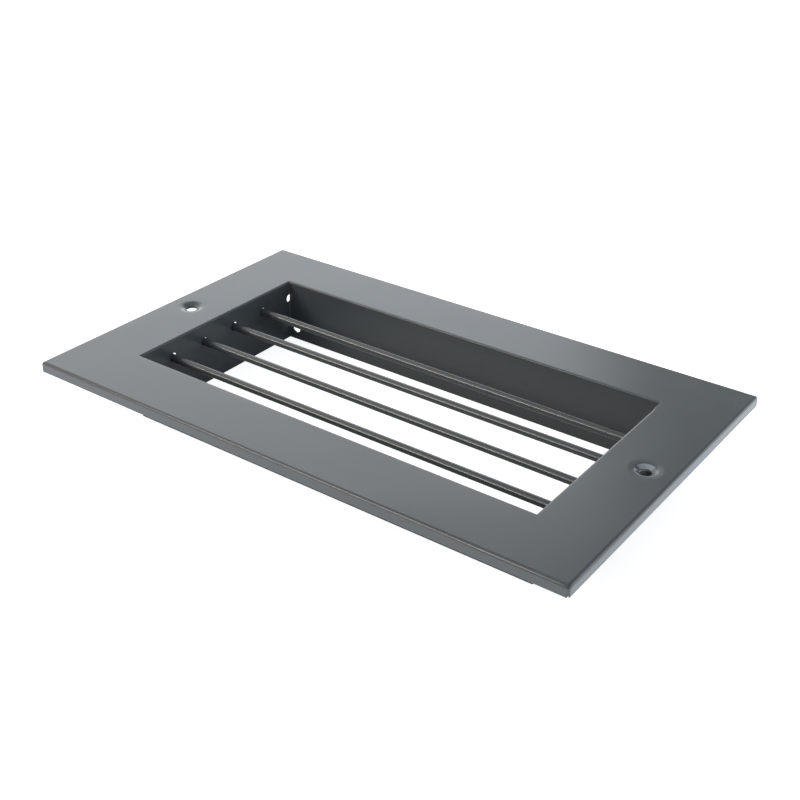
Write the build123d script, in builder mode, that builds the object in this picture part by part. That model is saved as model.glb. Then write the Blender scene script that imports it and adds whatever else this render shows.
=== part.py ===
from build123d import *

import os
from itertools import product
from math import atan2, tan

# Wall ventilation grille: a folded sheet frame with four round bars across its neck.
#
# The frame is one piece: a flat face with a short lip folded back round its outside and a
# deeper neck folded back round its opening. The rail section is carried round the opening
# with mitred corners, which are welded and dressed. The bars pass through punched holes in
# the two short neck walls and lie on the bottom of those holes.
#
# Millimetres. X runs along the long side, Z points out of the wall. The origin is at the
# centre of the neck's open end, on which the grille stands.

os.makedirs("parts", exist_ok=True)

# Frame
opening_length = 200.0      # clear opening between the short neck walls
opening_width = 100.0       # clear opening between the long neck walls
flange_width = 30.0         # from the opening to the outer edge, on all four sides
neck_depth = 30.4           # from the face to the open end of the neck
lip_depth = 5.0             # from the face to the free edge of the outer lip
sheet = 1.0                 # sheet thickness
bend_radius = 0.25          # inside radius of every fold, which is grooved first and so is tight

# Bars
bar_count = 4
bar_diameter = 3.6
bar_play = 0.6              # how much wider than the bar its hole is punched
bar_drop = 9.0              # from the face to the centre of the punched row
bar_overhang = 3.0          # how far each bar end stands out of the neck wall
bar_end_chamfer = 0.5
seat_clearance = 0.02       # between a bar and the bottom of its hole

# Screw points in the middle of the two short flanges
screw_hole_diameter = 5.0
screw_edge_distance = 12.0  # from the outer edge to the screw's centre
sink_diameter = 9.0         # where the pressed cone would meet the face
sink_depth = 1.6            # from the face to the upper rim of the screw hole
sink_blend_radius = 4.5     # rounding between the face and the pressed cone

# Holes near the open end of the neck, in the long walls
neck_hole_diameter = 4.8
neck_hole_inset = 4.0       # from the corner of the neck
neck_hole_height = 6.0      # above the open end

# Welded corners
neck_bead_radius = 0.6      # weld in the upright corners inside the neck
lip_corner_radius = 0.4     # dressed upright corners of the outer lip
soft_corner_radius = 1.2    # the one at the front right, which is dressed rounder
lip_seam_width = 0.6        # where the corner weld of the lip stops short
lip_seam_height = 0.7
weld_fill_length = 6.0      # one opening corner has its fold filled square by the weld

# Worked out from the sizes above
face_length = opening_length + 2 * flange_width
face_width = opening_width + 2 * flange_width
fold_radius = bend_radius + sheet
bar_pitch = opening_width / (bar_count + 1)
bar_hole_diameter = bar_diameter + bar_play
bar_hole_z = neck_depth - bar_drop
bar_z = bar_hole_z - bar_play / 2 + seat_clearance
bar_length = opening_length + 2 * (sheet + bar_overhang)
screw_x = face_length / 2 - screw_edge_distance

# One pressed screw point, drawn from its axis outward with the face at height zero
cone_radius = sink_diameter / 2
cone_slope = atan2(sink_depth, cone_radius - screw_hole_diameter / 2)
sink_rim_radius = cone_radius + sink_blend_radius
with BuildPart() as pressed_sink:
    with BuildSketch(Plane.XZ):
        with BuildLine():
            FilletPolyline(
                (sink_rim_radius, 0),
                (cone_radius, 0),
                (screw_hole_diameter / 2, -sink_depth),
                (screw_hole_diameter / 2, -sink_depth - sheet),
                (cone_radius + sheet * tan(cone_slope / 2), -sheet),
                (sink_rim_radius, -sheet),
                radius=[0, sink_blend_radius, 0, 0, sink_blend_radius - sheet, 0],
                close=True,
            )
        make_face()
    revolve(axis=Axis.Z)

with BuildPart() as frame:
    # The rail: neck wall, face and lip as one folded strip, carried round the opening
    with BuildLine():
        Polyline(
            (0, -opening_width / 2),
            (-opening_length / 2, -opening_width / 2),
            (-opening_length / 2, opening_width / 2),
            (opening_length / 2, opening_width / 2),
            (opening_length / 2, -opening_width / 2),
            (0, -opening_width / 2),
        )
    with BuildSketch(Plane(origin=(0, -opening_width / 2, 0), x_dir=(0, -1, 0), z_dir=(-1, 0, 0))):
        with BuildLine():
            FilletPolyline(
                (0, 0),
                (0, neck_depth),
                (flange_width, neck_depth),
                (flange_width, neck_depth - lip_depth),
                (flange_width - sheet, neck_depth - lip_depth),
                (flange_width - sheet, neck_depth - sheet),
                (sheet, neck_depth - sheet),
                (sheet, 0),
                radius=[0, fold_radius, fold_radius, 0, 0, bend_radius, bend_radius, 0],
                close=True,
            )
        make_face()
    sweep(transition=Transition.RIGHT)

    # Weld bead inside the neck's upright corners
    fillet(frame.edges().filter_by(Axis.Z).group_by(SortBy.DISTANCE)[0], neck_bead_radius)

    # Dressed upright corners of the lip, where the weld stops short of the free edge
    lip_corners = frame.edges().filter_by(Axis.Z).group_by(SortBy.DISTANCE)[-1]
    soft_corner = lip_corners.sort_by_distance((face_length / 2, -face_width / 2, neck_depth))[0]
    fillet(soft_corner, soft_corner_radius)
    fillet(frame.edges().filter_by(Axis.Z).group_by(SortBy.DISTANCE)[-1], lip_corner_radius)
    for side_x, side_y in product((-1, 1), repeat=2):
        corner = Vector(side_x * face_length / 2, side_y * face_width / 2, neck_depth - lip_depth)
        with Locations(Location(corner, (0, 0, side_x * side_y * 45))):
            Box(4 * sheet, lip_seam_width, 2 * lip_seam_height, mode=Mode.SUBTRACT)

    # One corner of the opening, where the weld fills the fold square
    with Locations((opening_length / 2, opening_width / 2 + fold_radius, neck_depth)):
        Box(
            fold_radius,
            fold_radius + weld_fill_length,
            fold_radius,
            align=(Align.MIN, Align.MAX, Align.MAX),
        )

    # Pressed screw points
    with GridLocations(2 * screw_x, 0, 2, 1):
        with Locations((0, 0, neck_depth)):
            Cylinder(
                sink_rim_radius,
                sheet,
                align=(Align.CENTER, Align.CENTER, Align.MAX),
                mode=Mode.SUBTRACT,
            )
            add(pressed_sink.part)

    for side in (-1, 1):
        # Punched row in each short wall: one hole per bar, and one cut through by each corner
        with BuildSketch(Plane((side * opening_length / 2, 0, bar_hole_z), (0, 1, 0), (side, 0, 0))):
            with GridLocations(bar_pitch, 0, bar_count + 2, 1):
                Circle(bar_hole_diameter / 2)
        extrude(amount=sheet, mode=Mode.SUBTRACT)

        # The corner weld leaves its hole open as far as the long wall
        bead_x = side * (opening_length / 2 - neck_bead_radius)
        with BuildSketch(Plane((bead_x, 0, bar_hole_z), (0, 1, 0), (side, 0, 0))):
            with GridLocations(bar_pitch, 0, bar_count + 2, 1):
                Circle(bar_hole_diameter / 2)
            Rectangle(opening_width, neck_depth, mode=Mode.INTERSECT)
        extrude(amount=neck_bead_radius, mode=Mode.SUBTRACT)

        # A hole near each end of the long walls
        with BuildSketch(Plane((0, side * opening_width / 2, neck_hole_height), (1, 0, 0), (0, side, 0))):
            with GridLocations(opening_length - 2 * neck_hole_inset, 0, 2, 1):
                Circle(neck_hole_diameter / 2)
        extrude(amount=sheet, mode=Mode.SUBTRACT)

frame.part.label = "frame"
export_step(frame.part, "parts/frame.step")

# Bars, numbered from the front (-Y) of the face
for number in range(bar_count):
    bar_y = (number - (bar_count - 1) / 2) * bar_pitch
    with BuildPart() as bar:
        with BuildSketch(Plane((-bar_length / 2, bar_y, bar_z), (0, 1, 0), (1, 0, 0))):
            Circle(bar_diameter / 2)
        extrude(amount=bar_length)
        chamfer(bar.edges().filter_by(GeomType.CIRCLE), bar_end_chamfer)
    bar.part.label = f"bar_{number + 1}"
    export_step(bar.part, f"parts/bar_{number + 1}.step")
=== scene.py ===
import logging
import math
from dataclasses import dataclass
from enum import Enum
from typing import Any, Callable

import bpy
import numpy as np
from mathutils import Matrix, Vector


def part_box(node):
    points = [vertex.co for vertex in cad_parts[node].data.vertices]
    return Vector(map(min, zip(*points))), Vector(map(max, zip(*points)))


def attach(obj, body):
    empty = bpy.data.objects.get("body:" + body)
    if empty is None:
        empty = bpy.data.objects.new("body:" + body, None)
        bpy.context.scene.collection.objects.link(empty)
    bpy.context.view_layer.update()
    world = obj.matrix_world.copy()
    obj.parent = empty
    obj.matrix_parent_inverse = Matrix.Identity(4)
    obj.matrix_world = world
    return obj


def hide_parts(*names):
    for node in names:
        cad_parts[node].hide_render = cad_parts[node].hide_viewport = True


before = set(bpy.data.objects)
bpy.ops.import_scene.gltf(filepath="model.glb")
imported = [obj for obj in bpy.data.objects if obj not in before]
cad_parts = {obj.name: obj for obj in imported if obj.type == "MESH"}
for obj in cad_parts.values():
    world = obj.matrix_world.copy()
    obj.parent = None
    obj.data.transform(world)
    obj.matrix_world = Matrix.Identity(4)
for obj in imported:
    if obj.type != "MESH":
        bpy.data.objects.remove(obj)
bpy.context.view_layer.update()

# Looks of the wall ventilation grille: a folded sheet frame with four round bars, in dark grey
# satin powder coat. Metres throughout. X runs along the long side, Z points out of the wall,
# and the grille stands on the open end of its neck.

log = logging.getLogger("grille")

MM = 0.001
BLOCK_CELLS = 8
MERGE_DISTANCE = 0.0005 * MM
CLOSE = 0.0001 * MM
SHARP_ANGLE = math.radians(40)
OPENING_FOLD, OUTER_FOLD = 1, 2
DARK_GREY = (0.066, 0.076, 0.082)
WHITE = (1.0, 1.0, 1.0, 1.0)


class Side(Enum):
    """One side of the frame: which way it faces and which way its length is counted."""

    FRONT = ((0, -1), (1, 0))
    RIGHT = ((1, 0), (0, 1))
    BACK = ((0, 1), (-1, 0))
    LEFT = ((-1, 0), (0, -1))

    @property
    def outward(self) -> np.ndarray:
        """Unit vector in plan, away from the opening."""
        return np.array(self.value[0], float)

    @property
    def along(self) -> np.ndarray:
        """Unit vector in plan, along the side, anticlockwise seen from above."""
        return np.array(self.value[1], float)

    @property
    def is_short(self) -> bool:
        """True for the two sides that the bars pass through."""
        return self in (Side.RIGHT, Side.LEFT)


# The rings of a hole are a radius and a height each. The rail's section is arrays by name.
# Places are each side's first column and its lines.
Rings = tuple[tuple[float, float], ...]
Section = dict[str, np.ndarray]
Places = dict[Side, tuple[int, np.ndarray]]


def smooth_step(value: np.ndarray) -> np.ndarray:
    """Zero below 0, one above 1, and three times the square less twice the cube between."""
    share = np.clip(value, 0.0, 1.0)
    return share * share * (3 - 2 * share)


def blend(first: float, second: float, share: np.ndarray) -> np.ndarray:
    """The first value where the share is 0, the second where it is 1, in proportion between."""
    return first + (second - first) * share


def block_lines(centre: float, half: float) -> np.ndarray:
    """Grid lines across a square block round a hole.

    The offsets are the tangents of evenly spaced angles, so that the lines meet the block's
    edge at even angles round its centre.

    Args:
        centre: middle of the block.
        half: half the block's width.

    Returns:
        The lines' places, from one edge of the block to the other.
    """
    return centre + half * np.tan(np.linspace(-math.pi / 4, math.pi / 4, BLOCK_CELLS + 1))


def ruled_lines(fixed: list[np.ndarray], step: float) -> np.ndarray:
    """Sorts the given lines and fills every gap wider than a step with evenly spaced ones.

    Args:
        fixed: arrays of lines that have to be there.
        step: widest gap that may stay.

    Returns:
        All lines in rising order, without repeats.
    """
    lines = np.unique(np.round(np.concatenate(fixed), 9))
    cells = np.maximum(np.ceil(np.diff(lines) / step - 1e-6), 1).astype(int)
    filled = [np.linspace(low, high, n, endpoint=False) for low, high, n in zip(lines, lines[1:], cells)]
    return np.append(np.concatenate(filled), lines[-1])


def quarter(steps: int) -> np.ndarray:
    """Angles of a quarter turn in even steps, from 0, in radians."""
    return np.linspace(0, math.pi / 2, steps + 1)


def grid_faces(rows: int, columns: int, first: int = 0) -> np.ndarray:
    """Quads of a grid that closes on itself along its columns.

    Args:
        rows: number of points one way, open.
        columns: number of points the other way, closed.
        first: index of the grid's first point.

    Returns:
        One row of four point indices for each cell, in the order rows, then columns.
    """
    row = np.arange(rows - 1)[:, None]
    column = np.arange(columns)[None, :]
    after = (column + 1) % columns
    corners = (
        row * columns + column,
        (row + 1) * columns + column,
        (row + 1) * columns + after,
        row * columns + after,
    )
    return first + np.stack(corners, axis=-1).reshape(-1, 4)


def cap_quads(loop: np.ndarray) -> np.ndarray:
    """Quads that close an even ring of points, in one strip across it."""
    half, back = len(loop) // 2, loop[::-1]
    return np.stack([loop[: half - 1], loop[1:half], back[1:half], back[: half - 1]], axis=1)


def mesh_object(name: str, points: np.ndarray, quads: np.ndarray) -> bpy.types.Object:
    """Makes a mesh object at the origin from arrays of points and quads."""
    mesh = bpy.data.meshes.new(name)
    mesh.vertices.add(len(points))
    mesh.vertices.foreach_set("co", points.astype(np.float32).ravel())
    mesh.loops.add(quads.size)
    mesh.loops.foreach_set("vertex_index", quads.astype(np.int32).ravel())
    mesh.polygons.add(len(quads))
    mesh.polygons.foreach_set("loop_start", np.arange(0, quads.size, quads.shape[1], dtype=np.int32))
    mesh.update(calc_edges=True)
    mesh.validate()
    made = bpy.data.objects.new(name, mesh)
    bpy.context.scene.collection.objects.link(made)
    return made


def smooth_shaded(piece: bpy.types.Object) -> bpy.types.Object:
    """Shades a piece smoothly, with flat faces kept flat and true corners kept sharp."""
    piece.data.polygons.foreach_set("use_smooth", np.ones(len(piece.data.polygons), bool))
    piece.data.set_sharp_from_angle(angle=SHARP_ANGLE)
    weighted = piece.modifiers.new("face_weighted_normals", "WEIGHTED_NORMAL")
    weighted.keep_sharp = True
    weighted.weight = 60
    return piece


@dataclass(frozen=True)
class Hole:
    """A round hole through one side's sheet, with the formed metal round it.

    Attributes:
        side: which side of the frame it is in.
        place: its centre along that side.
        level: its centre across the sheet: a height on the neck, a distance out on the face.
        half_block: half the width of the square of grid that it takes the place of.
        rings: radius and height of each ring, from the shown face through to the hidden one.
        on_face: True in the flat face, False in the neck wall.
    """

    side: Side
    place: float
    level: float
    half_block: float
    rings: Rings
    on_face: bool


def rim_rings(radius: float, edge: float, depth: float = 0.0) -> list[tuple[float, float]]:
    """Rings of a hole's rounded rim, a quarter circle from the given depth into the hole."""
    return [
        (radius + edge * (1 - math.sin(a)), -depth - edge * (1 - math.cos(a))) for a in quarter(4)
    ]


def punched_rings(radius: float, sheet: float, edge: float, block: float) -> Rings:
    """Rings of a plain punched hole whose two rims are rounded by the coat.

    Args:
        radius: radius of the hole.
        sheet: thickness of the sheet.
        edge: radius of each rounded rim.
        block: half the width of the square round the hole.

    Returns:
        The rings, from the shown face through to the hidden one.
    """
    rim = rim_rings(radius, edge)
    back = [(r, -sheet - h) for r, h in reversed(rim)]
    wide = radius + 0.6 * (block - radius)
    return ((wide, 0.0), *rim, *back, (wide, -sheet))


@dataclass(frozen=True)
class PressedSink:
    """A screw point: a shallow dish, a cone and a round hole, pressed into the sheet."""

    hole_radius: float = 2.5 * MM
    cone_radius: float = 4.6 * MM
    dish_radius: float = 7.4 * MM
    dish_depth: float = 0.1 * MM
    cone_depth: float = 1.65 * MM
    rim_softness: float = 0.5 * MM
    edge: float = 0.2 * MM

    def drop(self, radius: np.ndarray) -> np.ndarray:
        """Depth of the shown face below the flat sheet at a distance from the screw's axis.

        The dish falls as a smooth step from its rim to the cone's. The cone falls in a
        straight line from there to the hole, and the bend between the two is the rounded
        corner of a softened maximum: half of x plus the root of x squared plus a constant.

        Args:
            radius: distances from the axis.

        Returns:
            The depths, zero outside the dish.
        """
        share = (self.dish_radius - radius) / (self.dish_radius - self.cone_radius)
        slope = (self.cone_depth - self.dish_depth) / (self.cone_radius - self.hole_radius)
        softened, rest = (
            0.5 * (inward + np.sqrt(inward**2 + (0.5 * self.rim_softness) ** 2))
            for inward in (self.cone_radius - radius, 0.5 * (self.cone_radius - self.dish_radius))
        )
        return self.dish_depth * smooth_step(share) + slope * np.maximum(softened - rest, 0.0)

    def rings(self, sheet: float) -> Rings:
        """Rings from the rim of the dish down the cone, through the hole and back out below."""
        flat_end, bend_half, slope_start = 1.6 * MM, 1.3 * MM, 1.5 * MM
        down = np.concatenate([
            np.linspace(self.dish_radius, self.cone_radius + flat_end, 6),
            np.linspace(self.cone_radius + bend_half, self.cone_radius - bend_half, 11),
            np.linspace(self.cone_radius - slope_start, self.hole_radius + self.edge, 3),
        ])
        depth = self.drop(down)
        rim_depth = depth[-1]
        shown = list(zip(down, -depth))
        hidden = [(r, h - sheet) for r, h in reversed(shown)]
        rim = rim_rings(self.hole_radius, self.edge, rim_depth)[1:]
        back = [(r, -2 * rim_depth - sheet - h) for r, h in reversed(rim)]
        return tuple((float(r), float(h)) for r, h in (*shown, *rim, *back, *hidden))


@dataclass
class FoldedFrame:
    """The frame: a rail section carried round the opening, mitred, welded and punched."""

    low: Vector
    high: Vector
    flange: float = 30 * MM
    lip: float = 5 * MM
    sheet: float = 1 * MM
    bend: float = 0.25 * MM
    edge: float = 0.22 * MM
    bead: float = 0.4 * MM
    lip_corner: float = 0.4 * MM
    soft_corner: float = 1.2 * MM
    hidden_corner: float = 0.12 * MM
    neck_corner: float = 0.3 * MM
    end_zone: float = 0.8 * MM
    end_cells: int = 14
    corner_cells: int = 5
    fold_cells: int = 14
    edge_cells: int = 4
    step: float = 5 * MM
    bar_hole_radius: float = 2.1 * MM
    bar_hole_drop: float = 9 * MM
    bar_hole_block: float = 3.4 * MM
    neck_hole_radius: float = 2.4 * MM
    neck_hole_inset: float = 4 * MM
    neck_hole_height: float = 6 * MM
    neck_hole_block: float = 3.15 * MM
    screw_edge_distance: float = 12 * MM
    screw_block: float = 9 * MM
    fold_power: float = 3.2
    fill_length: float = 6 * MM
    fill_run_out: float = 1.6 * MM
    fill_tail: float = 0.7 * MM
    fill_tail_fade: float = 0.4 * MM
    filled_power: float = 12.0
    outer_across: float = 1.2 * MM
    outer_down: float = 1.3 * MM
    outer_power: float = 2.0
    dressed_length: float = 32 * MM
    dressed_fade: float = 22 * MM
    dressed_across: float = 1.2 * MM
    dressed_down: float = 1.5 * MM
    dressed_power: float = 1.6
    across_margin: float = 1.1
    down_margin: float = 1.05
    wave_height: float = 0.035 * MM
    wave_lengths: tuple[float, ...] = (21 * MM, 17 * MM, 13 * MM, 9 * MM)
    wave_phases: tuple[float, ...] = (0.7, 0.3, 1.9, 0.5)
    wave_fade: float = 4 * MM
    bead_reach: float = 0.55 * MM
    bead_fade: float = 0.2 * MM
    bead_height: float = 0.05 * MM
    bead_step: float = 0.28 * MM
    bead_swell: float = 1.7 * MM
    seam_width: float = 0.6 * MM
    seam_height: float = 0.7 * MM
    cut_sides: int = 40
    cut_inward: float = 0.9 * MM
    cut_shoulder: float = 0.02 * MM
    cut_skin: float = 0.004 * MM
    bars: tuple[float, ...] = ()
    bar_slips: tuple[float, ...] = (-0.4 * MM, -0.2 * MM, 0.0, 0.0)
    bar_hole_fills: tuple[float, ...] = (0.0, 0.18 * MM, 0.0, 0.18 * MM)
    left_sink: PressedSink = PressedSink(
        cone_radius=4.7 * MM, dish_radius=7.6 * MM, cone_depth=1.35 * MM, rim_softness=2.6 * MM
    )
    right_sink: PressedSink = PressedSink()

    @property
    def depth(self) -> float:
        """From the face to the open end of the neck."""
        return self.high.z - self.low.z

    @property
    def fold(self) -> float:
        """Outside radius of the opening's fold."""
        return self.bend + self.sheet

    @property
    def opening(self) -> tuple[float, float]:
        """Half the length and half the width of the opening."""
        return self.high.x - self.flange, self.high.y - self.flange

    @property
    def screw_out(self) -> float:
        """From the opening out to a screw point's axis."""
        return self.flange - self.screw_edge_distance

    def spans(self, side: Side) -> tuple[float, float]:
        """Half the opening's size along a side, and half its size across to that side."""
        half_length, half_width = self.opening
        return (half_width, half_length) if side.is_short else (half_length, half_width)

    def holes(self) -> list[Hole]:
        """Every whole hole: the punched row, the screw points and the holes in the long walls.

        The coat lies thicker in some holes of the row and leaves them narrower.
        """
        bar_rings = [
            punched_rings(self.bar_hole_radius - fill, self.sheet, self.edge, self.bar_hole_block)
            for fill in self.bar_hole_fills
        ]
        neck_rings = punched_rings(self.neck_hole_radius, self.sheet, self.edge, self.neck_hole_block)
        level = self.depth - self.bar_hole_drop
        place = self.opening[0] - self.neck_hole_inset
        made = []
        for side in Side:
            if side.is_short:
                sink = self.right_sink if side is Side.RIGHT else self.left_sink
                made += [
                    Hole(side, (y + slip) * side.along[1], level, self.bar_hole_block, rings, False)
                    for y, slip, rings in zip(self.bars, self.bar_slips, bar_rings)
                ]
                made.append(Hole(side, 0.0, self.screw_out, self.screw_block, sink.rings(self.sheet), True))
            else:
                made += [
                    Hole(side, x, self.neck_hole_height, self.neck_hole_block, neck_rings, False)
                    for x in (-place, place)
                ]
        return made

    def section(self) -> Section:
        """The rail's closed section, from the foot of the neck's inside round to its outside.

        Straight parts are ruled lines, every fold and bend is a quarter circle, and every free
        edge is two small quarter circles for the coat that rounds it.

        Returns:
            Arrays by name: out and height of each point, corner for its radius in plan, lip for
            its share in the lip's own corner radius, fold with 1 at the opening's fold and 2 at
            the outer one, and turn for the angle round it.
        """
        neck_blocks = [
            block_lines(self.depth - self.bar_hole_drop, self.bar_hole_block),
            block_lines(self.neck_hole_height, self.neck_hole_block),
        ]
        top = self.depth - self.fold
        wall = ruled_lines([np.array([self.edge, top]), *neck_blocks], self.step)
        face_ends = np.array([self.fold, self.flange - self.across_margin * self.dressed_across])
        face = ruled_lines([face_ends, block_lines(self.screw_out, self.screw_block)], self.step)
        turn = quarter(self.fold_cells)
        bend = quarter(self.fold_cells // 2)
        round_edge = quarter(self.edge_cells)
        rising = self.edge * (1 - np.cos(round_edge))
        falling = self.edge * (1 - np.sin(round_edge))
        lip_end = self.depth - self.lip
        lip_run = np.linspace(lip_end + self.edge, self.depth - self.down_margin * self.dressed_down, 4)
        outer, inner = self.flange, self.flange - self.sheet
        near, far = self.bead, self.lip_corner
        back, neck = self.hidden_corner, self.neck_corner
        share = np.linspace(0, 1, len(face))
        over = outer - self.fold * (1 - np.sin(turn))
        rows: list[tuple[Any, ...]] = [
            (0 * wall, wall, near, 0, 0, 0),
            (self.fold * (1 - np.cos(turn)), top + self.fold * np.sin(turn), near, 0, OPENING_FOLD, turn),
            (face, 0 * face + self.depth, blend(near, far, share), share, 0, 0),
            (over, top + self.fold * np.cos(turn), far, 1, OUTER_FOLD, turn),
            (0 * lip_run + outer, lip_run[::-1], far, 1, 0, 0),
            (outer - rising, lip_end + falling, far, 1, 0, 0),
            (inner + falling, lip_end + rising, back, 0, 0, 0),
            (0 * lip_run + inner, lip_run, back, 0, 0, 0),
            (outer - self.fold + self.bend * np.cos(bend), top + self.bend * np.sin(bend), back, 0, 0, 0),
            (face[::-1], 0 * face + self.depth - self.sheet, back, 0, 0, 0),
            (self.fold - self.bend * np.sin(bend), top + self.bend * np.cos(bend), back, 0, 0, 0),
            (0 * wall + self.sheet, wall[::-1], neck, 0, 0, 0),
            (self.sheet - rising, falling, neck, 0, 0, 0),
            (falling, rising, near, 0, 0, 0),
        ]
        names = ("out", "height", "corner", "lip", "fold", "turn")
        made = {
            name: np.concatenate([np.broadcast_to(row[i], row[0].shape).astype(float) for row in rows])
            for i, name in enumerate(names)
        }
        apart = np.hypot(*(made[name] - np.roll(made[name], 1) for name in ("out", "height")))
        return {name: values[apart > MERGE_DISTANCE] for name, values in made.items()}

    def side_lines(self, side: Side) -> np.ndarray:
        """Grid lines along one side, closest together at its holes and its two mitres."""
        run, _ = self.spans(side)
        ends = np.linspace(run - self.end_zone, run, self.end_cells + 1)
        fixed = [ends, -ends]
        fixed += [block_lines(hole.place, hole.half_block) for hole in self.holes() if hole.side is side]
        if side is Side.RIGHT:
            start = run - self.fill_length
            fixed.append(np.linspace(start - 0.5 * self.fill_run_out, start + 0.5 * self.fill_run_out, 9))
        return ruled_lines(fixed, self.step)

    def surface(self) -> tuple[np.ndarray, Section, Places]:
        """The whole skin as one grid: the section one way, the loop round the opening the other.

        Along a side, a point's place is its line plus, in the last stretch before the mitre, its
        distance out less the corner's radius. Between two sides it runs round that radius.

        Returns:
            Points by section and loop, the section, and each side's first column and lines.
        """
        section = self.section()
        columns: list[np.ndarray] = []
        places: Places = {}
        count = 0
        for side in Side:
            run, away = self.spans(side)
            lines = self.side_lines(side)
            turn = quarter(self.corner_cells)[1:-1]
            lines_and_corner = np.append(lines, np.full(len(turn), run))
            out, height = self.profile(side, lines_and_corner, section)
            corner = self.corner_radii(side, lines_and_corner, section)
            shear = np.sign(lines_and_corner) * np.clip(
                (np.abs(lines_and_corner) - run + self.end_zone) / self.end_zone, 0, 1
            )
            along = lines_and_corner + shear * (out - corner)
            outward = away + out
            along[:, len(lines) :] += corner[:, len(lines) :] * np.sin(turn)
            outward[:, len(lines) :] -= corner[:, len(lines) :] * (1 - np.cos(turn))
            plan = along[..., None] * side.along + outward[..., None] * side.outward
            columns.append(np.concatenate([plan, height[..., None]], axis=2))
            places[side] = (count, lines)
            count += along.shape[1]
        return np.concatenate(columns, axis=1), section, places

    def corner_radii(self, side: Side, lines: np.ndarray, section: Section) -> np.ndarray:
        """Radius in plan at the end of the side nearest to each line, for every section point."""
        softer = np.zeros(len(lines))
        if side is Side.FRONT:
            softer[lines > 0] = self.soft_corner - self.lip_corner
        if side is Side.RIGHT:
            softer[lines < 0] = self.soft_corner - self.lip_corner
        return section["corner"][:, None] + section["lip"][:, None] * softer

    def fold_shape(self, side: Side, lines: np.ndarray, fold: int) -> tuple[np.ndarray, ...]:
        """How the fold's curve changes along a side.

        The opening's fold is the same all round but for the corner that weld fills square. The
        outer fold is the sheet's own round bend, and near one corner it was dressed softer.

        Args:
            side: the side of the frame.
            lines: places along it.
            fold: OPENING_FOLD or OUTER_FOLD.

        Returns:
            The curve's size across the face, its size down, and its power, at each line.
        """
        run, _ = self.spans(side)
        share = np.zeros(len(lines))
        if fold == OPENING_FOLD:
            if side is Side.RIGHT:
                filled = lines - run + self.fill_length + 0.5 * self.fill_run_out
                share = smooth_step(filled / self.fill_run_out)
            if side is Side.BACK:
                share = smooth_step((self.fill_tail - run - lines) / self.fill_tail_fade)
            size = self.fold + 0 * share
            return size, size, blend(self.fold_power, self.filled_power, share)
        if side in (Side.FRONT, Side.RIGHT):
            toward = -1 if side is Side.FRONT else 1
            reach = run + self.flange + toward * lines
            share = 1 - smooth_step((reach - self.dressed_length) / self.dressed_fade)
        return (
            blend(self.outer_across, self.dressed_across, share),
            blend(self.outer_down, self.dressed_down, share),
            blend(self.outer_power, self.dressed_power, share),
        )

    def profile(self, side: Side, lines: np.ndarray, section: Section) -> tuple[np.ndarray, np.ndarray]:
        """Distance out and height of every section point at every line of a side.

        A fold is a superellipse: its reach across and its reach down are the cosine and the sine
        of the turn, each raised to two over the power. 2 is round, and more is squarer.

        Args:
            side: the side of the frame.
            lines: places along it.
            section: the rail's section.

        Returns:
            Both as arrays by section and line.
        """
        out, height = (np.repeat(section[name][:, None], len(lines), axis=1) for name in ("out", "height"))
        for fold in (OPENING_FOLD, OUTER_FOLD):
            rows = section["fold"] == fold
            turn = section["turn"][rows][:, None]
            across, down, power = self.fold_shape(side, lines, fold)
            cosine, sine = np.cos(turn) ** (2 / power), np.sin(turn) ** (2 / power)
            if fold == OPENING_FOLD:
                out[rows] = across * (1 - cosine)
                height[rows] = self.depth - down * (1 - sine)
            else:
                out[rows] = self.flange - across * (1 - sine)
                height[rows] = self.depth - down * (1 - cosine)
        return out, height

    def wave(self, x: np.ndarray, y: np.ndarray) -> np.ndarray:
        """How far the hand-worked sheet stands off flat: a sum of three long crossed waves."""
        along, across, slant, steep = self.wave_lengths
        first, second, third, fourth = self.wave_phases
        return self.wave_height * (
            np.sin(x / along + first) * np.cos(y / across + second)
            + 0.6 * np.sin((x + y) / slant + third)
            + 0.4 * np.cos((x - 0.6 * y) / steep + fourth)
        )

    def bow_sheet(self, points: np.ndarray, section: Section) -> None:
        """Lets the flat face, and its underside with it, wave a little between the two folds."""
        out = section["out"][:, None]
        above = section["height"][:, None] > self.depth - 1.5 * self.sheet
        inside = smooth_step((out - self.fold) / self.wave_fade)
        inside = inside * smooth_step((self.flange - self.fold - out) / self.wave_fade)
        points[..., 2] += np.where(above, inside * self.wave(points[..., 0], points[..., 1]), 0.0)

    def ripple_beads(self, points: np.ndarray, section: Section) -> None:
        """Gives the welds in the neck's upright corners the small even steps of a laid bead."""
        corner = np.minimum(*(
            smooth_step((np.abs(points[..., axis]) - half + self.bead_reach) / self.bead_fade)
            for axis, half in enumerate(self.opening)
        ))
        inner = (section["out"][:, None] < CLOSE) * corner
        height = points[..., 2]
        ripple = np.sin(height / self.bead_step) * np.cos(height / self.bead_swell)
        push = self.bead_height * inner * (1 + ripple)
        for axis in (0, 1):
            points[..., axis] -= np.sign(points[..., axis]) * push

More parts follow.
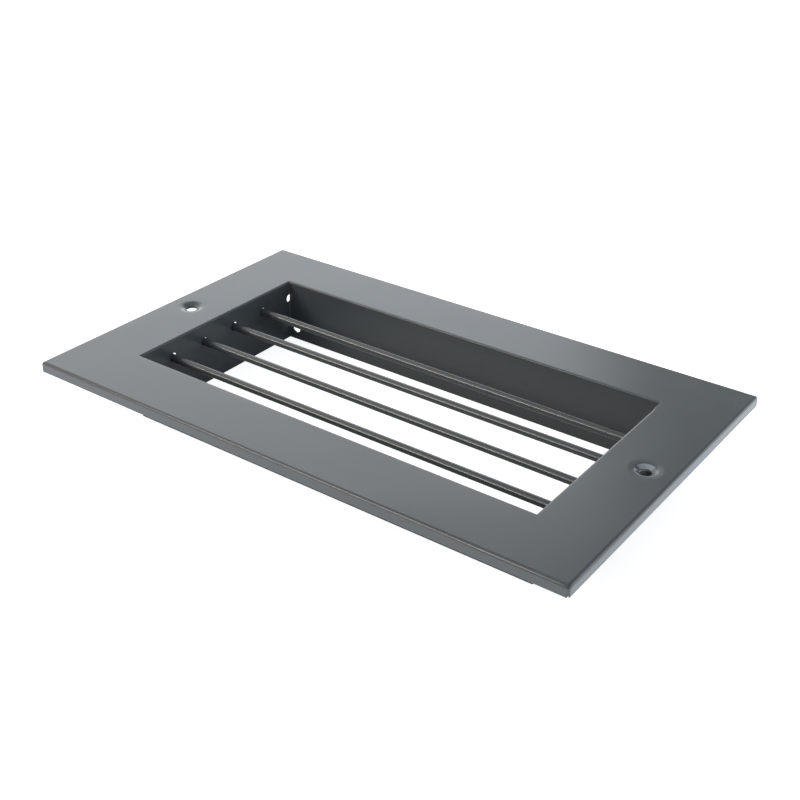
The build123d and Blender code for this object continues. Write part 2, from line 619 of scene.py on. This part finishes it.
    def hole_patch(
        self, hole: Hole, points: np.ndarray, section: Section, places: Places, first: int
    ) -> tuple[np.ndarray, np.ndarray, np.ndarray]:
        """Rings of metal that take the place of two blocks of grid, one on each face of the sheet.

        Args:
            hole: the hole to form.
            points: the surface's points.
            section: the rail's section.
            places: each side's first column and lines.
            first: index that the rings' first point will have.

        Returns:
            The rings' points, their quads, and the cells of the grid to leave out.
        """
        columns = points.shape[1]
        start, lines = places[hole.side]
        _, away = self.spans(hole.side)
        if hole.on_face:
            level, under = section["out"], self.depth - section["height"]
            place, up, normal = away + hole.level, self.depth, np.array([0.0, 0.0, 1.0])
        else:
            level, under = section["height"], section["out"]
            place, up, normal = away, hole.level, np.array([*-hole.side.outward, 0.0])
        centre = np.array([*(place * hole.side.outward + hole.place * hole.side.along), up])
        near = np.abs(level - hole.level) < hole.half_block + CLOSE
        shown_rows, hidden_rows = (
            np.flatnonzero((np.abs(under - depth) < CLOSE) & near) for depth in (0.0, self.sheet)
        )
        column = start + np.flatnonzero(np.abs(lines - hole.place) < hole.half_block + CLOSE)
        loops = [
            np.concatenate([
                block[0] * columns + column,
                block[1:] * columns + column[-1],
                block[-1] * columns + column[-2::-1],
                block[-2:0:-1] * columns + column[0],
            ])
            for block in (shown_rows, hidden_rows[::-1])
        ]
        cells = [
            (block[:-1, None] * columns + column[None, :-1]).ravel() for block in (shown_rows, hidden_rows)
        ]
        flat = points.reshape(-1, 3)[loops[0]] - centre
        flat -= (flat @ normal)[:, None] * normal
        direction = flat / np.linalg.norm(flat, axis=1, keepdims=True)
        ring = np.array(hole.rings)
        made = centre + ring[:, 0, None, None] * direction[None] + ring[:, 1, None, None] * normal
        count = len(direction)
        shown_ring = first + np.arange(count)
        hidden_ring = shown_ring + (len(ring) - 1) * count
        quads = np.concatenate([
            np.stack([loops[0], shown_ring, np.roll(shown_ring, -1), np.roll(loops[0], -1)], axis=1),
            grid_faces(len(ring), count, first),
            np.stack([hidden_ring, loops[1], np.roll(loops[1], -1), np.roll(hidden_ring, -1)], axis=1),
        ])
        return made.reshape(-1, 3), quads, np.concatenate(cells)

    def cutters(self) -> bpy.types.Object:
        """One mesh for what the corners lose: the row's end holes and the open foot of each lip weld.

        An end hole is a round tube through the short wall. Inside the opening it is cut flat
        along the long wall's face, and past a small shoulder in the short wall it is whole.
        """
        half_length, half_width = self.opening
        sides = self.cut_sides
        angles = np.linspace(0, 2 * math.pi, sides, endpoint=False)
        points, quads, count = [], [], 0
        reach = (-self.cut_inward, self.cut_shoulder, self.cut_shoulder, 2 * self.sheet)
        whole = (False, False, True, True)
        wall_face = half_width - self.cut_skin
        across = half_width + self.bar_hole_radius * np.cos(angles)
        upward = self.depth - self.bar_hole_drop + self.bar_hole_radius * np.sin(angles)
        box = np.array([(x, y, z) for x in (-1, 1) for y in (-1, 1) for z in (-1, 1)], float)
        box *= np.array([2 * self.sheet, 0.5 * self.seam_width, self.seam_height])
        box_quads = np.array(
            [(0, 1, 3, 2), (4, 6, 7, 5), (0, 4, 5, 1), (2, 3, 7, 6), (0, 2, 6, 4), (1, 5, 7, 3)]
        )
        for sign_x in (-1, 1):
            for sign_y in (-1, 1):
                flip = -1 if sign_x * sign_y > 0 else 1
                for along, full in zip(reach, whole):
                    ring_y = across if full else np.minimum(across, wall_face)
                    ring_x = np.full(sides, sign_x * (half_length + along))
                    points.append(np.stack([ring_x, sign_y * ring_y, upward], axis=1))
                quads.append(grid_faces(len(reach), sides, count)[:, ::flip])
                last = count + (len(reach) - 1) * sides
                for loop in (np.arange(sides) + count, np.arange(sides)[::-1] + last):
                    quads.append(cap_quads(loop[::flip]))
                count += len(reach) * sides
                turn = Matrix.Rotation(math.radians(45 * sign_x * sign_y), 3, "Z")
                corner = np.array([sign_x * self.high.x, sign_y * self.high.y, self.depth - self.lip])
                points.append(box @ np.array(turn).T + corner)
                quads.append(box_quads + count)
                count += 8
        return mesh_object("corner_cutters", np.concatenate(points), np.concatenate(quads))

    def build(self) -> bpy.types.Object:
        """Makes the frame's mesh and cuts its corners.

        Returns:
            The finished piece, at the origin.
        """
        points, section, places = self.surface()
        self.bow_sheet(points, section)
        self.ripple_beads(points, section)
        rows, columns = points.shape[:2]
        count = rows * columns
        quads = grid_faces(rows + 1, columns) % count
        keep = np.ones(len(quads), bool)
        all_points, all_quads = [points.reshape(-1, 3)], []
        for hole in self.holes():
            made, patch, cells = self.hole_patch(hole, points, section, places, count)
            keep[cells] = False
            all_points.append(made)
            all_quads.append(patch)
            count += len(made)
        all_quads.insert(0, quads[keep])
        piece = mesh_object("frame_sheet", np.concatenate(all_points), np.concatenate(all_quads))
        self.cut(piece)
        return smooth_shaded(piece)

    def cut(self, piece: bpy.types.Object) -> None:
        """Takes the cutters' shapes out of the piece and removes the cutters."""
        cutters = self.cutters()
        boolean = piece.modifiers.new("corner_cuts", "BOOLEAN")
        boolean.operation = "DIFFERENCE"
        boolean.solver = "EXACT"
        boolean.object = cutters
        evaluated = piece.evaluated_get(bpy.context.evaluated_depsgraph_get())
        mesh = bpy.data.meshes.new_from_object(evaluated)
        piece.modifiers.clear()
        piece.data = mesh
        bpy.data.objects.remove(cutters)


@dataclass
class RoundBar:
    """One bar: a round rod with softly turned ends and a slight bow along its length."""

    name: str
    low: Vector
    high: Vector
    end_radius: float = 0.5 * MM
    coat: float = 0.05 * MM
    bow: float = 0.06 * MM
    phase: float = 0.0
    left: tuple[float, float] = (0.0, 0.0)
    right: tuple[float, float] = (0.0, 0.0)
    sides: int = 48
    step: float = 4 * MM
    centre_radius: float = 0.01 * MM

    def build(self) -> bpy.types.Object:
        """Makes the bar's mesh.

        A point is the bar's axis at that length plus its radius times the cosine and sine of
        the angle round it. The radius is full along the bar and falls to a small flat end round
        a quarter circle, and the axis bows as half a sine. Each end lies a little off its place
        in its hole, across and up, and the axis runs straight from one to the other.

        Returns:
            The finished piece, at the origin.
        """
        radius = 0.5 * (self.high.z - self.low.z) + self.coat
        turn = quarter(5)
        shoulder = self.end_radius * (1 - np.sin(turn))
        inset = radius - self.end_radius * (1 - np.cos(turn))
        full_radius = np.array([self.low.x + self.end_radius, self.high.x - self.end_radius])
        middle = ruled_lines([full_radius], self.step)
        x = np.concatenate([self.low.x + shoulder[::-1], middle[1:-1], self.high.x - shoulder])
        r = np.concatenate([inset[::-1], np.full(len(middle) - 2, radius), inset])
        flat_end = np.array([self.centre_radius, 0.5 * r[0]])
        x = np.concatenate([[self.low.x, self.low.x], x, [self.high.x, self.high.x]])
        r = np.concatenate([flat_end, r, flat_end[::-1]])
        angle = np.linspace(0, 2 * math.pi, self.sides, endpoint=False)
        centre = 0.5 * (self.low + self.high)
        share = (x - self.low.x) / (self.high.x - self.low.x)
        bow = self.bow * np.sin(math.pi * share) * math.sin(self.phase)
        bow += blend(self.left[0], self.right[0], share)
        lift = self.bow * np.sin(math.pi * share) ** 2 * math.cos(self.phase)
        lift += blend(self.left[1], self.right[1], share)
        points = np.stack([
            np.broadcast_to(x[:, None], (len(x), self.sides)),
            centre.y + bow[:, None] + r[:, None] * np.cos(angle),
            centre.z + lift[:, None] + r[:, None] * np.sin(angle),
        ], axis=-1)
        quads = grid_faces(len(x), self.sides)[:, ::-1]
        ring = np.arange(self.sides)
        caps = [cap_quads(ring), cap_quads((ring + (len(x) - 1) * self.sides)[::-1])]
        piece = mesh_object(self.name, points.reshape(-1, 3), np.concatenate([quads, *caps]))
        return smooth_shaded(piece)


def math_node(operation: str, swapped: bool = False) -> Callable[["Value", Any], "Value"]:
    """Makes an operator of Value: one Math node, with the operator's two sides swapped if asked."""

    def calculate(value: "Value", other: Any) -> "Value":
        """Adds the node and gives its result."""
        first, second = (other, value) if swapped else (value, other)
        return value.graph.node("ShaderNodeMath", {"operation": operation}, {0: first, 1: second})

    return calculate


class Value:
    """A shader socket that Python's operators calculate with, one Math node each."""

    __add__ = __radd__ = math_node("ADD")
    __sub__ = math_node("SUBTRACT")
    __rsub__ = math_node("SUBTRACT", swapped=True)
    __mul__ = __rmul__ = math_node("MULTIPLY")
    __truediv__ = math_node("DIVIDE")
    __pow__ = math_node("POWER")

    def __init__(self, graph: "Graph", socket: bpy.types.NodeSocket) -> None:
        """Wraps a socket of a graph."""
        self.graph = graph
        self.socket = socket

    def size(self) -> "Value":
        """Absolute value."""
        return math_node("ABSOLUTE")(self, 0.0)

    def below(self, limit: float) -> "Value":
        """One where the value is less than the limit, and zero elsewhere."""
        return math_node("LESS_THAN")(self, limit)

    def step(self, low: float, high: float) -> "Value":
        """Smooth step from 0 at low to 1 at high, or the other way if low is above high."""
        ends = (low, high) if low < high else (high, low)
        spread = self.graph.node(
            "ShaderNodeMapRange",
            {"interpolation_type": "SMOOTHSTEP"},
            {"Value": self, "From Min": ends[0], "From Max": ends[1]},
        )
        return spread if low < high else 1 - spread


class Graph:
    """The node tree of one material or of the surround, built with one method."""

    def __init__(self, name: str, tree: bpy.types.NodeTree | None = None) -> None:
        """Makes an empty material, or empties the given tree."""
        if tree is None:
            self.material = bpy.data.materials.new(name)
            self.material.use_nodes = True
            tree = self.material.node_tree
        self.tree = tree
        self.tree.nodes.clear()

    def node(self, kind: str, settings: dict[str, Any], inputs: dict[Any, Any], output: Any = 0) -> Value:
        """Adds a node.

        Args:
            kind: the node's type.
            settings: its properties, set before its sockets.
            inputs: a number, colour or Value for each named or numbered socket.
            output: name or number of the socket to give back.

        Returns:
            That output, wrapped.
        """
        made = self.tree.nodes.new(kind)
        for key, value in settings.items():
            setattr(made, key, value)
        for key, value in inputs.items():
            socket = made.inputs[key]
            if isinstance(value, Value):
                self.tree.links.new(value.socket, socket)
            else:
                socket.default_value = value
        return Value(self, made.outputs[output] if made.outputs else None)

    def mix(self, share: Any, first: Any, second: Any) -> Value:
        """Colour between two colours, by a share from 0 to 1."""
        return self.node("ShaderNodeMix", {"data_type": "RGBA"}, {0: share, 6: first, 7: second}, 2)

    def noise(self, coordinates: Value, size: float, detail: float = 2.0, roughness: float = 0.5) -> Value:
        """Noise whose features are about the given size in metres."""
        inputs = {"Vector": coordinates, "Scale": 1 / size, "Detail": detail, "Roughness": roughness}
        return self.node("ShaderNodeTexNoise", {}, inputs)

    def axes(self, coordinates: Value) -> tuple[Value, Value, Value]:
        """The three numbers of a vector."""
        made = self.node("ShaderNodeSeparateXYZ", {}, {0: coordinates}, 0)
        outputs = made.socket.node.outputs
        return Value(self, outputs[0]), Value(self, outputs[1]), Value(self, outputs[2])


@dataclass(frozen=True)
class PowderCoat:
    """Dark grey satin powder coat, baked on, with a fine orange-peel skin."""

    name: str
    colour: tuple[float, float, float]
    roughness: float = 0.24
    gloss_level: float = 0.5
    peel_size: float = 1.1 * MM
    peel_height: float = 0.006 * MM
    peel_detail_share: float = 0.45
    cloud_size: float = 32 * MM
    cloud_height: float = 0.018 * MM
    cloud_shade: float = 0.1
    cloud_roughness: float = 0.06
    grain_size: float = 0.5 * MM
    grain_shade: float = 0.12
    grain_roughness: float = 0.05
    widest_shade: float = 0.2

    def skin(self, graph: Graph) -> tuple[Value, Value, Value, Value]:
        """Colour, roughness and height of the plain coat.

        Args:
            graph: the material's nodes.

        Returns:
            The object coordinates, the colour, the roughness and the height in metres.
        """
        place = graph.node("ShaderNodeTexCoord", {}, {}, "Object")
        cloud = graph.noise(place, self.cloud_size, 3.0)
        grain = graph.noise(place, self.grain_size)
        peel = graph.noise(place, self.peel_size, roughness=self.peel_detail_share)
        off_cloud, off_grain = cloud - 0.5, grain - 0.5
        shade = off_cloud * self.cloud_shade + off_grain * self.grain_shade
        dark, light = (
            (*(share * level for share in self.colour), 1.0)
            for level in (1 - self.widest_shade, 1 + self.widest_shade)
        )
        colour = graph.mix(0.5 + shade * (0.5 / self.widest_shade), dark, light)
        roughness = self.roughness + off_cloud * self.cloud_roughness + off_grain * self.grain_roughness
        height = peel * self.peel_height + cloud * self.cloud_height
        return place, colour, roughness, height

    def finish(self, graph: Graph, colour: Value, roughness: Value, height: Value) -> bpy.types.Material:
        """Joins colour, roughness and height in the shader and gives the material."""
        bump = graph.node("ShaderNodeBump", {}, {"Height": height, "Distance": 1.0, "Strength": 1.0})
        shader = graph.node(
            "ShaderNodeBsdfPrincipled",
            {},
            {
                "Base Color": colour,
                "Roughness": roughness,
                "Normal": bump,
                "Specular IOR Level": self.gloss_level,
                "IOR": 1.5,
            },
        )
        graph.node("ShaderNodeOutputMaterial", {}, {"Surface": shader})
        return graph.material

    def plain(self) -> bpy.types.Material:
        """The coat on a bar."""
        graph = Graph(self.name)
        _, colour, roughness, height = self.skin(graph)
        return self.finish(graph, colour, roughness, height)


@dataclass(frozen=True)
class FrameCoat(PowderCoat):
    """The coat on the frame, where dressed welds show through, with a painted highlight in the right
    screw's cone.

    A pair of distances or of noise levels is where a mark has faded out and where it is full.
    """

    face_start: tuple[float, float] = (-1 * MM, 1 * MM)
    seam: tuple[float, float] = (0.7 * MM, 0.1 * MM)
    seam_level: tuple[float, float] = (0.35, 0.6)
    dressed: tuple[float, float] = (5 * MM, 1 * MM)
    weld_height: float = 0.0015 * MM
    weld_roughness: float = 0.01
    weld_size: float = 4 * MM
    speck_size: float = 0.7 * MM
    speck_level: tuple[float, float] = (0.70, 0.76)
    foot: tuple[float, float] = (0.9 * MM, 0.2 * MM)
    chip_strength: float = 0.6
    chip_colour: tuple[float, ...] = (0.35, 0.36, 0.37, 1.0)
    # Painted highlight: a lighter bluish colour on the lit far wall of the right screw's cone.
    painted_highlight_outside: tuple[float, float] = (4.6 * MM, 4.1 * MM)
    painted_highlight_inside: tuple[float, float] = (2.5 * MM, 2.8 * MM)
    painted_highlight_toward: tuple[float, float] = (0.385, 0.923)
    painted_highlight_spread: tuple[float, float] = (0.4, 0.8)
    painted_highlight_colour: tuple[float, ...] = (0.26, 0.3, 0.34, 1.0)

    def on_frame(self, shape: FoldedFrame) -> bpy.types.Material:
        """The coat with its seams, with specks at the neck's foot and a painted highlight in the right
        screw's cone.

        Args:
            shape: the frame, for the places of its mitres, edges and screw points.

        Returns:
            The material.
        """
        graph = Graph(self.name)
        place, colour, roughness, height = self.skin(graph)
        x, y, z = graph.axes(place)
        half_length, half_width = shape.opening
        along_x, along_y = x.size() - half_length, y.size() - half_width
        off_mitre = (along_x - along_y).size()
        wander = graph.noise(place, self.weld_size)
        on_face = along_x.step(*self.face_start) * along_y.step(*self.face_start)
        seam = on_face * off_mitre.step(*self.seam) * wander.step(*self.seam_level)
        dressed = on_face * off_mitre.step(*self.dressed)
        height = height - seam * self.weld_height + dressed * wander * self.weld_height
        roughness = roughness + dressed * self.weld_roughness
        speck = graph.noise(place, self.speck_size, 3.0, 0.7).step(*self.speck_level)
        chip = speck * z.step(*self.foot)
        colour = graph.mix(chip * self.chip_strength, colour, self.chip_colour)
        # Painted highlight: a ring between the right screw's hole and its cone's rim, on the cone's far
        # side, is made lighter and bluish as if lit.
        off_screw = x - (half_length + shape.screw_out)
        apart = (off_screw.size() ** 2 + y.size() ** 2) ** 0.5
        left, back = self.painted_highlight_toward
        behind = (y * back - off_screw * left) / (apart + 0.01 * MM)
        painted_highlight_ring = apart.step(*self.painted_highlight_outside) * apart.step(*self.painted_highlight_inside)
        colour = graph.mix(painted_highlight_ring * behind.step(*self.painted_highlight_spread), colour, self.painted_highlight_colour)
        return self.finish(graph, colour, roughness, height)


@dataclass(frozen=True)
class SoftLight:
    """One soft studio light: a lit panel that points at the grille.

    Its heading is in degrees anticlockwise from the grille's right, its rise in degrees above
    the floor, and its size a width and a height. A strength of 1 is white.
    """

    name: str
    heading: float
    rise: float
    size: tuple[float, float]
    strength: float
    colour: tuple[float, float, float]
    distance: float = 2.0

    def hang(self) -> None:
        """Puts the light in the scene. A panel's power is pi times its brightness times its area."""
        lamp = bpy.data.lights.new(self.name, "AREA")
        lamp.shape = "RECTANGLE"
        lamp.size, lamp.size_y = self.size
        lamp.energy = math.pi * self.strength * self.size[0] * self.size[1]
        lamp.color = self.colour
        hung = bpy.data.objects.new(self.name, lamp)
        heading, rise = math.radians(self.heading), math.radians(self.rise)
        level = math.cos(rise)
        away = Vector((level * math.cos(heading), level * math.sin(heading), math.sin(rise)))
        hung.location = away * self.distance
        hung.rotation_mode = "QUATERNION"
        hung.rotation_quaternion = (-away).to_track_quat("-Z", "Y")
        bpy.context.scene.collection.objects.link(hung)


@dataclass(frozen=True)
class Studio:
    """A white table in front of a white sweep, with a few soft lights in a dimmer room.

    Face is half the length and half the width of the grille's face. The table's glow is one for
    the camera and, beside the grille, one in gloss and one in soft light. The sweep is that much
    brighter than the room. A pair of places is where something is gone and where it is full, and
    the deep shadow's insets are counted in from the face's edges.
    """

    face: tuple[float, float]
    floor_size: float = 12.0
    floor_colour: float = 0.8
    seen_glow: float = 0.8
    gloss_glow: float = 1.22
    soft_glow: float = 0.37
    room: float = 0.38
    sweep: float = 0.88
    sweep_toward: tuple[float, float] = (0.26, 0.97)
    sweep_sides: tuple[float, float] = (-0.2, 0.3)
    sweep_rise: tuple[float, float] = (0.36, 0.18)
    tint: tuple[float, float, float] = (0.94, 1.0, 1.05)
    shadow_inset: float = 29.6 * MM
    shadow_reach: tuple[float, float] = (4 * MM, 2 * MM)
    shadow_start: tuple[float, float] = (20 * MM, 30 * MM)
    shadow_end_inset: float = 29 * MM
    shadow_colour: float = 0.08

    def ray(self, graph: Graph, kind: str) -> Value:
        """One for light paths of a kind, such as Camera or Glossy, and zero for the others."""
        return graph.node("ShaderNodeLightPath", {}, {}, f"Is {kind} Ray")

    def seen(self, graph: Graph) -> tuple[Value, Value]:
        """One for what the camera sees, also through glass, and white there but tinted elsewhere."""
        seen = self.ray(graph, "Camera") + self.ray(graph, "Transmission")
        return seen, graph.mix(seen, (*self.tint, 1.0), WHITE)

    def floor(self) -> None:
        """Lays a white table that glows a little and still takes the grille's shadow.

        Under the grille the table is in shadow, and there it glows for the camera alone. Along
        the back half of the two short walls, outside the neck, the shadow is deep.
        """
        half = self.floor_size / 2
        corners = np.array([(-half, -half, 0), (half, -half, 0), (half, half, 0), (-half, half, 0)], float)
        plane = mesh_object("studio_floor", corners, np.array([[0, 1, 2, 3]]))
        graph = Graph("studio_floor")
        x, y, _ = graph.axes(graph.node("ShaderNodeTexCoord", {}, {}, "Object"))
        outside = 1 - x.size().below(self.face[0]) * y.size().below(self.face[1])
        seen, colour = self.seen(graph)
        gloss = self.ray(graph, "Glossy")
        wall = self.face[0] - self.shadow_inset
        gone, full = self.shadow_reach
        deep = (1 - x.size().below(wall)) * x.size().step(wall + gone, wall + full)
        deep = deep * y.step(*self.shadow_start) * y.below(self.face[1] - self.shadow_end_inset)
        strength = (
            seen * (1 - deep) * self.seen_glow
            + gloss * outside * self.gloss_glow
            + (1 - seen) * (1 - gloss) * outside * self.soft_glow
        )
        plain, dark = ((level, level, level, 1.0) for level in (self.floor_colour, self.shadow_colour))
        matt = graph.node("ShaderNodeBsdfDiffuse", {}, {"Color": graph.mix(deep, plain, dark)})
        glow = graph.node("ShaderNodeEmission", {}, {"Color": colour, "Strength": strength})
        both = graph.node("ShaderNodeAddShader", {}, {0: matt, 1: glow})
        graph.node("ShaderNodeOutputMaterial", {}, {"Surface": both})
        plane.data.materials.append(graph.material)

    def surround(self) -> None:
        """Sets a white surround for the camera, and a white sweep in a dimmer room for the rest.

        The sweep is a share of white that fades out with height, and from behind to the front.
        """
        world = bpy.data.worlds.new("studio")
        bpy.context.scene.world = world
        world.use_nodes = True
        graph = Graph("studio", world.node_tree)
        x, y, z = graph.axes(graph.node("ShaderNodeTexCoord", {}, {}, "Generated"))
        right, back = self.sweep_toward
        behind = (x * right + y * back).step(*self.sweep_sides)
        seen, colour = self.seen(graph)
        level = seen + (1 - seen) * (self.room + behind * z.step(*self.sweep_rise) * self.sweep)
        glow = graph.node("ShaderNodeBackground", {}, {"Color": colour, "Strength": level})
        graph.node("ShaderNodeOutputWorld", {}, {"Surface": glow})

    def lights(self) -> list[SoftLight]:
        """The soft lights, from the right round by the back to the front left."""
        return [
            SoftLight("right_panel", 18, 10, (2.2, 0.65), 1.0, (0.84, 1.0, 1.17)),
            SoftLight("back_low_panel", 82, 9.5, (2.0, 0.62), 1.45, (0.92, 1.0, 1.09)),
            SoftLight("back_left_low_panel", 133, 9.5, (2.0, 0.62), 1.4, (0.98, 1.0, 1.02)),
            SoftLight("back_left_panel", 139, 30, (1.7, 0.75), 1.8, (0.95, 1.0, 1.05)),
            SoftLight("left_panel", 200, 44, (2.0, 1.4), 1.0, (1.25, 1.0, 0.78)),
            SoftLight("streak_panel", 237, 27, (0.85, 0.42), 11.0, (1.06, 1.0, 0.93)),
            SoftLight("overhead_panel", 90, 89, (1.2, 1.2), 0.7, (0.9, 1.0, 1.08)),
        ]

    def build(self) -> None:
        """Lays the floor, sets the surround and hangs the lights."""
        self.floor()
        self.surround()
        for light in self.lights():
            light.hang()


@dataclass(frozen=True)
class Shot:
    """The camera, placed as the photograph was taken."""

    place: tuple[float, float, float] = (279.14 * MM, -385.79 * MM, 288.27 * MM)
    heading: float = 36.290
    pitch: float = -26.494
    roll: float = 0.496
    lens: float = 57.36
    sensor: float = 36.0
    shift: tuple[float, float] = (0.01875, -0.08125)
    nearest: float = 0.01
    farthest: float = 50.0

    def take(self) -> None:
        """Makes the scene's camera.

        The camera looks along +Y, turns left by its heading, tips by its pitch, and then rolls
        about its own line of sight.
        """
        data = bpy.data.cameras.new("camera")
        data.lens, data.sensor_width = self.lens, self.sensor
        data.shift_x, data.shift_y = self.shift
        data.clip_start, data.clip_end = self.nearest, self.farthest
        camera = bpy.data.objects.new("camera", data)
        turn = (
            Matrix.Rotation(math.radians(self.heading), 4, "Z")
            @ Matrix.Rotation(math.radians(90 + self.pitch), 4, "X")
            @ Matrix.Rotation(math.radians(self.roll), 4, "Z")
        )
        camera.matrix_world = Matrix.Translation(self.place) @ turn
        bpy.context.scene.collection.objects.link(camera)
        bpy.context.scene.camera = camera


class Grille:
    """The whole grille: its frame, its bars and their coat."""

    def __init__(self) -> None:
        """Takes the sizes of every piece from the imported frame."""
        self.bar_names = sorted(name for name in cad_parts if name.startswith("bar_"))
        boxes = [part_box(name) for name in self.bar_names]
        places = tuple(0.5 * (low.y + high.y) for low, high in boxes)
        low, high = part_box("frame")
        self.frame = FoldedFrame(low, high, bars=places)
        # How far each bar's left end and right end lie off their places, across and up.
        lies = [
            ((-0.4 * MM, -0.1 * MM), (-0.5 * MM, -0.2 * MM)),
            ((-0.2 * MM, 0.1 * MM), (-0.6 * MM, -0.25 * MM)),
            ((0.0, 0.0), (0.0, 0.0)),
            ((0.0, 0.12 * MM), (0.0, -0.2 * MM)),
        ]
        phase_step = 1.3
        self.bars = [
            RoundBar(f"{name}_rod", low, high, phase=phase_step * number, left=left, right=right)
            for number, (name, (low, high), (left, right)) in enumerate(zip(self.bar_names, boxes, lies))
        ]

    def dress(self, piece: bpy.types.Object, material: bpy.types.Material, node: str) -> None:
        """Gives a piece its coat, its body and the node that it stands for."""
        piece.data.materials.clear()
        piece.data.materials.append(material)
        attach(piece, "root")
        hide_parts(node)
        log.info("%s: %d faces for %s", piece.name, len(piece.data.polygons), node)

    def build(self) -> None:
        """Builds and dresses the frame and the bars."""
        coat = FrameCoat("frame_coat", DARK_GREY)
        self.dress(self.frame.build(), coat.on_frame(self.frame), "frame")
        rod_coat = PowderCoat("bar_coat", DARK_GREY, roughness=0.19).plain()
        for bar, node in zip(self.bars, self.bar_names):
            self.dress(bar.build(), rod_coat, node)


def main() -> None:
    """Builds the grille, the studio and the camera, in that order."""
    logging.basicConfig(level=logging.INFO, format="%(name)s %(message)s")
    scene = bpy.context.scene
    scene.view_settings.view_transform = "Standard"
    grille = Grille()
    grille.build()
    Studio((grille.frame.high.x, grille.frame.high.y)).build()
    Shot().take()


if __name__ == "__main__":
    main()
